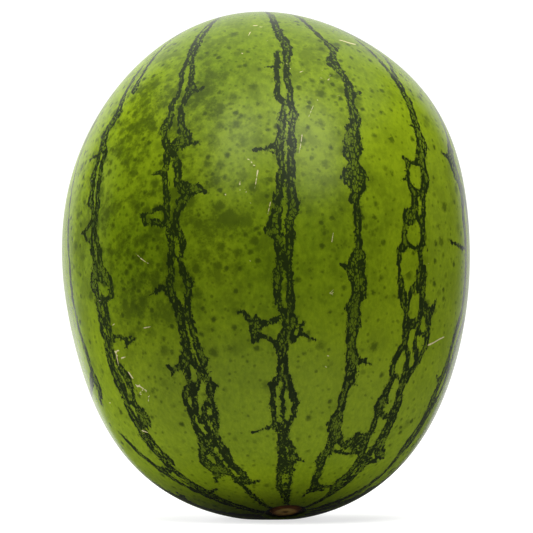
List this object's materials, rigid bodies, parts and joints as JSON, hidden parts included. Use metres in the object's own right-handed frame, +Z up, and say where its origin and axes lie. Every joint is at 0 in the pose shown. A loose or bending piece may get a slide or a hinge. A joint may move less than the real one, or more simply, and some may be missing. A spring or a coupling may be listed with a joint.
{
  "type": "watermelon",
  "caption": "Whole ripe watermelon, slightly egg-shaped, with dark ragged stripes, standing upright on a small flat spot at its blossom end.",
  "frame": {"origin": "on the surface that the fruit stands on, under the middle of the fruit's bounding box", "axes": "+Z up, from the blossom end that it stands on to the stem end; -Y towards the side that the picture shows; +X to the right as seen there"},
  "size_m": [0.2244, 0.2226, 0.2788],
  "materials": {
    "rind": "smooth waxy skin, yellow-green with ragged dark green stripes from end to end"
  },
  "bodies": {
    "root": {"watermelon": "rind"}
  },
  "joints": []
}
